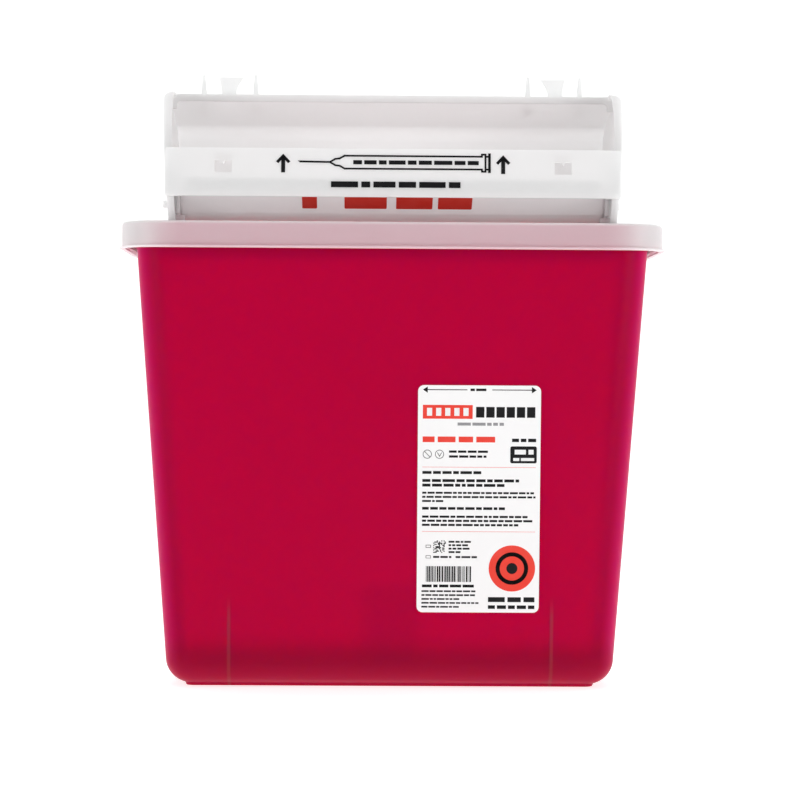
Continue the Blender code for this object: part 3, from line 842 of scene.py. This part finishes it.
def build_band():
    middle = (BAND_LOW + BAND_HIGH) / 2
    half_height = (BAND_HIGH - BAND_LOW) / 2
    outline = [(u, v + middle) for u, v in rounded_rectangle(BAND_HALF_X, half_height, 0.0010, 6)]
    back = BAND_OUTER - BAND_THICKNESS
    band = new_object("band_moulding", prism(outline, on_band, back, BAND_OUTER), BAND_NATURAL, PIVOT)
    tooth_root, tooth_tip, tooth_depth = 0.0010, 0.0003, 0.0016
    window = [(-WINDOW_HALF_X, WINDOW_LOW), (WINDOW_HALF_X, WINDOW_LOW), (WINDOW_HALF_X, WINDOW_HIGH),
              (tooth_root, WINDOW_HIGH), (tooth_tip, WINDOW_HIGH - tooth_depth),
              (-tooth_tip, WINDOW_HIGH - tooth_depth), (-tooth_root, WINDOW_HIGH),
              (-WINDOW_HALF_X, WINDOW_HIGH)]
    recess = [(-WINDOW_HALF_X, WINDOW_HIGH - 0.0004), (WINDOW_HALF_X, WINDOW_HIGH - 0.0004),
              (WINDOW_HALF_X, RECESS_HIGH), (-WINDOW_HALF_X, RECESS_HIGH)]
    for sign in (-1, 1):
        for shape, far in ((window, BAND_OUTER + 0.002), (recess, back + RECESS_DEPTH)):
            outline = [(u + sign * WINDOW_X, v) for u, v in shape]
            join_at_pivot(band, "window", prism(outline, on_band, back - 0.002, far), "DIFFERENCE")
    soften(band, 0.00025)
    finish_piece(band, TRAY, "natural_polypropylene", "lift_band")


def build_pin(name, sign):
    builder = bmesh.new()
    length = PIN_HIGH.x - PIN_LOW.x
    bmesh.ops.create_cone(builder, cap_ends=True, segments=40, radius1=PIN_RADIUS, radius2=PIN_RADIUS,
                          depth=length)
    outer_end = [edge for edge in builder.edges if all(vertex.co.z > 0 for vertex in edge.verts)]
    bmesh.ops.bevel(builder, geom=outer_end, offset=0.0005, segments=4, affect="EDGES", profile=0.5)
    middle = (PIN_HIGH.x + PIN_LOW.x) / 2
    for vertex in builder.verts:
        x, y, z = vertex.co
        vertex.co = (sign * (z + middle), y, x)
    pin = new_object(f"{name}_turned", builder, NATURAL, PIVOT)
    smooth(pin)
    finish_piece(pin, TRAY, "natural_polypropylene", name)


# ---------------------------------------- printed films
class Print:
    """Flat films of one ink, gathered into one piece. place(u, v, w), in metres, puts them on a surface."""

    def __init__(self, place, base):
        self.place = place
        self.base = base
        self.builder = bmesh.new()

    def patch(self, outline, level=0):
        """A closed outline, in millimetres, as a film. A higher level lies on top of a lower one."""
        low = self.base + level * INK
        points = [(u * 0.001, v * 0.001) for u, v in outline]
        lower = [self.builder.verts.new(self.place(u, v, low)) for u, v in points]
        upper = [self.builder.verts.new(self.place(u, v, low + INK)) for u, v in points]
        self.builder.faces.new(lower)
        self.builder.faces.new(upper)
        for i in range(len(points)):
            self.builder.faces.new((lower[i - 1], lower[i], upper[i], upper[i - 1]))

    def bar(self, left, bottom, width, height):
        right, top = left + width, bottom + height
        self.patch([(left, bottom), (right, bottom), (right, top), (left, top)])

    def soft_bar(self, left, bottom, width, height, radius):
        """A bar with rounded corners."""
        corners = rounded_rectangle(width / 2, height / 2, radius, 5)
        self.patch([(left + width / 2 + u, bottom + height / 2 + v) for u, v in corners])

    def disc(self, u, v, radius, level=0):
        self.patch(arc((u, v), radius, 0, 352.5, 47), level)

    def stroke(self, points, width, level=0):
        """A line of even width through points, one quadrilateral for each stretch."""
        for (u0, v0), (u1, v1) in zip(points, points[1:]):
            along = Vector((u1 - u0, v1 - v0)).normalized() * (width / 2)
            side = Vector((-along.y, along.x))
            overhang = along * 0.98
            start, end = Vector((u0, v0)) - overhang, Vector((u1, v1)) + overhang
            self.patch([start - side, end - side, end + side, start + side], level)

    def ring(self, u, v, radius, width, level=0):
        self.stroke(arc((u, v), radius, 0, 360, 48), width, level)

    def words(self, left, baseline, right, height, seed):
        """A line of plain blocks that stands for a line of small print."""
        chooser = random.Random(seed)
        u = left
        while u < right - height:
            width = min(height * chooser.uniform(1.3, 4.6), right - u)
            self.bar(u, baseline, width, height)
            u += width + height * 0.55

    def finish(self, name, material, body, slot, location=(0, 0, 0)):
        """Turn the gathered films into one piece that rides on the body."""
        finish_piece(new_object(name, self.builder, material, location), body, slot)


def label_frame():
    """Where the label lies: its middle on the wall, its up and outward directions."""
    lean = math.atan(DRAFT)
    middle = (LABEL_LOW + LABEL_HIGH) / 2
    up = Vector((0, -math.sin(lean), math.cos(lean)))
    out = Vector((0, -math.cos(lean), -math.sin(lean)))
    origin = Vector((middle.x, -(wall_line(middle.z) - PLAN_DIFFERENCE), middle.z))
    return origin, up, out


def on_label(u, v, w):
    """A point on the label, u across and v up from its middle, w off the bin's wall."""
    origin, up, out = label_frame()
    return origin + Vector((u, 0, 0)) + up * v + out * w


def build_label():
    width = LABEL_HIGH.x - LABEL_LOW.x
    height = (LABEL_HIGH.z - LABEL_LOW.z - 0.00002) / math.cos(math.atan(DRAFT))
    outline = rounded_rectangle(width / 2, height / 2, LABEL_CORNER_RADIUS, 8)
    top = LABEL_GAP + LABEL_THICKNESS - INK * 3
    label = new_object("label_sheet", prism(outline, on_label, LABEL_GAP, top), PAPER)
    smooth(label)
    finish_piece(label, BODY, "label_paper", "body_label")
    black, red, grey = (Print(on_label, top) for _ in range(3))
    white = Print(on_label, top + INK)
    print_label(black, red, white, grey)
    for films, colour, material in ((black, "black", BLACK_INK), (red, "red", RED_INK),
                                    (white, "white", WHITE_INK), (grey, "grey", GREY_INK)):
        films.finish(f"label_{colour}_print", material, BODY, "label_paper")


def print_label(black, red, white, grey):
    """Generic graphics in millimetres from the label's middle: only rules, blocks and plain signs."""
    left, right = -28.6, 28.8
    print_level_line(black, left, right)
    print_heading(black, red, white, grey, left, right)
    print_capacity(black, white)
    for height, end, size, seed in text_lines():
        black.words(left, height, end, size, seed)
    for height in (16.2, -16.6):
        red.bar(left, height, right - left, 0.16)
    print_codes(black, left)
    print_sign(black, red, right)


def print_level_line(black, left, right):
    """A level line with an arrowhead at each end and a gap for its caption."""
    height, tip, barb, reach, thickness = 55.5, 2.4, 1.6, 22.4, 0.44
    for end, step in ((left, 1), (right, -1)):
        start = end + tip if step > 0 else end - reach
        black.bar(start, height - thickness / 2, reach - tip, thickness)
        black.patch([(end, height), (end + step * tip, height + barb), (end + step * tip, height - barb)])
    black.words(-4.6, height - 0.6, 5.2, 1.25, 1)


def print_heading(black, red, white, grey, left, right):
    """A red panel with pale blocks, black blocks beside it, and below them small lines and two signs."""
    bottom, height = 40.8, 7.0
    red.bar(left, bottom, 25.2, height)
    for number in range(5):
        white.bar(left + 2.1 + number * 4.6, bottom + 1.5, 2.6, height - 3.0)
    for number in range(6):
        black.bar(left + 26.9 + number * 5.15, bottom + 0.7, 4.2, height - 1.6)
    grey.words(-11.0, 37.4, 12.4, 1.5, 2)
    red.words(left, 28.9, 8.6, 2.9, 3)
    black.words(16.6, 29.2, right, 1.7, 4)
    slash, wedge, middle = [(-1.3, 1.3), (1.3, -1.3)], [(-1.0, 0.7), (0.0, -1.1), (1.0, 0.7)], 22.8
    for u, mark in ((-26.2, slash), (-20.0, wedge)):
        black.ring(u, middle, 2.1, 0.28)
        black.stroke([(u + across, middle + up) for across, up in mark], 0.3)
    for height, seed in ((23.6, 5), (21.1, 6)):
        black.words(-15.2, height, 10.6 - seed, 1.15, seed)


def print_capacity(black, white):
    """A black plate with two lines of pale blocks."""
    black.soft_bar(15.8, 18.4, 13.4, 8.6, 0.9)
    white.words(18.0, 22.9, 27.6, 2.4, 7)
    white.words(17.3, 19.6, 27.9, 1.5, 8)


def text_lines():
    """Height, right end, size and seed of each line of small blocks."""
    yield 12.8, 1.2, 1.45, 10
    for number, end in enumerate((20.4, 13.0)):
        yield 8.7 - number * 2.35, end, 1.45, 11 + number
    for number, end in enumerate((28.0, 28.8, -17.0)):
        yield 2.7 - number * 2.1, end, 1.0, 13 + number
    yield -5.4, 14.4, 1.35, 16
    for number, end in enumerate((26.4, 28.8, 20.2)):
        yield -9.5 - number * 2.1, end, 1.1, 17 + number
    for number, end in enumerate((-1.2, -0.6, -8.8, 0.4, -9.6)):
        yield -47.4 - number * 2.0, end, 0.85, 20 + number


def print_codes(black, left):
    """A square pattern of cells, two small boxes, a row of stripes and captions."""
    chooser = random.Random(41)
    cell, corner_u, corner_v = 0.58, -22.8, -27.4
    for row in range(11):
        for column in range(11):
            if chooser.random() < 0.52:
                black.bar(corner_u + column * cell, corner_v + row * cell, cell * 0.96, cell * 0.96)
    for number, end in enumerate((-3.4, -5.2, -4.4, -9.0)):
        black.words(-15.0, -22.2 - number * 1.75, end, 0.95, 30 + number)
    box_left, line = left + 2.0, 0.25
    for height in (-24.8, -30.2):
        black.bar(box_left, height, 2.6, line)
        black.bar(box_left, height + 1.2, 2.6, line)
        black.bar(box_left, height + line, line, 0.95)
        black.bar(box_left + 2.35, height + line, line, 0.95)
    black.words(-22.8, -30.0, -13.6, 1.0, 35)
    black.words(-11.4, -30.0, -0.6, 1.0, 36)
    u = -26.4
    while u < -3.8:
        width = chooser.choice((0.26, 0.26, 0.52, 0.78))
        black.bar(u, -42.2, width, 8.0)
        u += width + chooser.choice((0.26, 0.26, 0.52))
    black.words(-28.4, -45.0, -1.2, 1.4, 37)


def print_sign(black, red, right):
    """A plain red disc with a ring and a dot, and two heavier lines of blocks below."""
    u, v, radius = 17.2, -35.2, 11.8
    red.disc(u, v, radius)
    black.ring(u, v, 7.2, 2.0, 1)
    black.disc(u, v, 2.8, 1)
    black.words(5.2, -52.4, right, 2.5, 38)
    black.words(5.2, -55.9, right, 1.8, 39)


# ---------------------------------------- prints on the band and the tray
def print_arrow(black, u):
    """An arrow that points up: a stem and an open head."""
    foot, tip, stem = 3.6, 13.2, 2.0
    black.bar(u - stem / 2, foot, stem, tip - foot - 1.6)
    for side in (-1, 1):
        black.patch([(u, tip), (u + side * 3.6, tip - 3.9), (u + side * 2.5, tip - 4.9), (u, tip - 2.2)])


def print_syringe(black):
    """A plain outline: thin needle, hub, barrel with a flange, plunger end."""
    middle, half, line = 9.1, 3.3, 0.9
    barrel_left, barrel_right = -24.5, 44.6
    hub = -31.6
    black.patch([(-48.1, middle + 0.7), (-47.0, middle - 0.3), (hub, middle - 0.45), (hub, middle + 0.45)])
    top = [(-31.8, middle + 0.1), (-29.2, middle + 1.6), (-27.0, middle + 1.9), (barrel_left, middle + half),
           (barrel_right, middle + half)]
    black.stroke(top, line)
    black.stroke([(u, 2 * middle - v) for u, v in top], line)
    flange, plate, reach = barrel_right + 1.8, barrel_right + 3.8, half + 1.1
    black.stroke([(barrel_right, middle - reach), (flange, middle - reach), (flange, middle + reach),
                  (barrel_right, middle + reach)], line)
    for side in (-1, 1):
        black.stroke([(barrel_right, middle + side * half), (barrel_right, middle + side * reach)], line)
        black.stroke([(flange, middle + side * half), (plate, middle + side * half)], line)
    black.stroke([(plate, middle - reach), (plate, middle + reach)], 1.3)
    black.words(-20.2, middle - 1.05, 43.0, 2.1, 51)


def print_band():
    black = Print(on_band, BAND_OUTER)
    for u in (-55.4, 55.3):
        print_arrow(black, u)
    print_syringe(black)
    black.words(-31.3, -3.8, 33.8, 3.0, 52)
    black.finish("band_black_print", BLACK_INK, TRAY, "natural_polypropylene", PIVOT)


def on_panel(u, v, w):
    """On the outside of the tray's front panel: v up the panel from its fold, w away from it."""
    front, fold = (Vector(point) for point in tray_floor()[:2])
    up = (front - fold).normalized()
    point = fold + up * v + Vector((-up.y, up.x)) * w
    return (u, point.x, point.y)


def print_panel():
    """A row of plain red blocks, which the band half covers while the tray is level."""
    red = Print(on_panel, 0.0)
    bottom, height, radius = 4.9, 22.0, 0.8
    for left, width in ((-46.2, 7.6), (-24.6, 21.6), (1.8, 18.6), (23.2, 17.4)):
        red.soft_bar(left, bottom, width, height, radius)
    red.finish("panel_red_print", RED_INK, TRAY, "natural_polypropylene", PIVOT)


def build_scene_pieces():
    build_bin()
    build_lid()
    build_hood()
    build_lock_tab("lock_tab_left", -1)
    build_lock_tab("lock_tab_right", 1)
    build_tray()
    build_band()
    build_pin("hinge_pin_left", -1)
    build_pin("hinge_pin_right", 1)
    build_label()
    print_band()
    print_panel()


# ---------------------------------------- stage
def build_stage():
    """A white sweep: floor, curve and wall in one sheet."""
    depth, height, radius = 1.6, 2.6, 0.8
    profile = [(-3.0, 0.0)] + [(depth - radius + u, radius + v) for u, v in arc((0, 0), radius, 270, 360, 24)]
    profile.append((depth, height))
    builder = bmesh.new()
    rows = [[builder.verts.new((x, y, z - 0.0002)) for y, z in profile] for x in (-4.0, 4.0)]
    for i in range(len(profile) - 1):
        builder.faces.new((rows[0][i], rows[1][i], rows[1][i + 1], rows[0][i + 1]))
    material, nodes, links, shader = start_material("sweep_paper")
    place = surface_grain(nodes, links, shader, 60.0, 0.02, 0.0005)
    patches = vary(nodes, links, place, 2.0, 0.0, 1.0)
    tone = mix_colours(nodes, links, patches, (0.62, 0.62, 0.62), (0.64, 0.64, 0.64))
    links.new(tone, shader.inputs["Base Color"])
    set_inputs(shader, {"Roughness": 0.9, "Emission Color": (1, 1, 1, 1), "Emission Strength": 0.75})
    sweep = new_object("sweep", builder, material)
    sweep.data.shade_smooth()


def area_light(name, location, target, size, power):
    """A soft rectangular light of the given power in watts, turned to its target."""
    light = bpy.data.lights.new(name, "AREA")
    light.shape = "RECTANGLE"
    light.size, light.size_y = size
    light.energy = power
    item = bpy.data.objects.new(name, light)
    item.location = location
    item.rotation_euler = (Vector(target) - Vector(location)).to_track_quat("-Z", "Y").to_euler()
    bpy.context.scene.collection.objects.link(item)


def build_lights():
    """Bright behind, above and to the sides, dim in front, so the front wall keeps its colour."""
    world = bpy.data.worlds.new("studio")
    world.use_nodes = True
    nodes, links = world.node_tree.nodes, world.node_tree.links
    background = nodes["Background"]
    background.inputs["Color"].default_value = (1, 1, 1, 1)
    place = nodes.new("ShaderNodeTexCoord")
    split = nodes.new("ShaderNodeSeparateXYZ")
    links.new(place.outputs["Generated"], split.inputs["Vector"])
    fade = ramp(nodes, links, split.outputs["Y"], -0.95, 0.2, 0.10, 0.55, "LINEAR")
    path = nodes.new("ShaderNodeLightPath")
    seen = combine(nodes, links, "MAXIMUM", fade, path.outputs["Is Camera Ray"])
    links.new(seen, background.inputs["Strength"])
    bpy.context.scene.world = world
    middle = (0, 0, 0.16)
    area_light("front_left", (-1.3, -1.2, 0.3), middle, (0.9, 0.5), 5.2)
    area_light("front_right", (1.3, -1.2, 0.3), middle, (0.9, 0.5), 7.2)
    area_light("overhead", (0, 0.1, 1.3), middle, (1.2, 0.8), 6.0)


def build_camera():
    """Nearly level view from in front, turned and rolled by less than a degree."""
    camera = bpy.data.cameras.new("camera")
    camera.sensor_width = 36.0
    camera.lens = FOCAL_LENGTH / IMAGE_WIDTH * camera.sensor_width
    camera.clip_start, camera.clip_end = 0.05, 20.0
    item = bpy.data.objects.new("camera", camera)
    item.location = CAMERA_PLACE
    item.rotation_euler = [math.radians(angle) for angle in CAMERA_TURN]
    bpy.context.scene.collection.objects.link(item)
    bpy.context.scene.camera = item
    bpy.context.scene.view_settings.view_transform = "Standard"


build_scene_pieces()
build_stage()
build_lights()
build_camera()
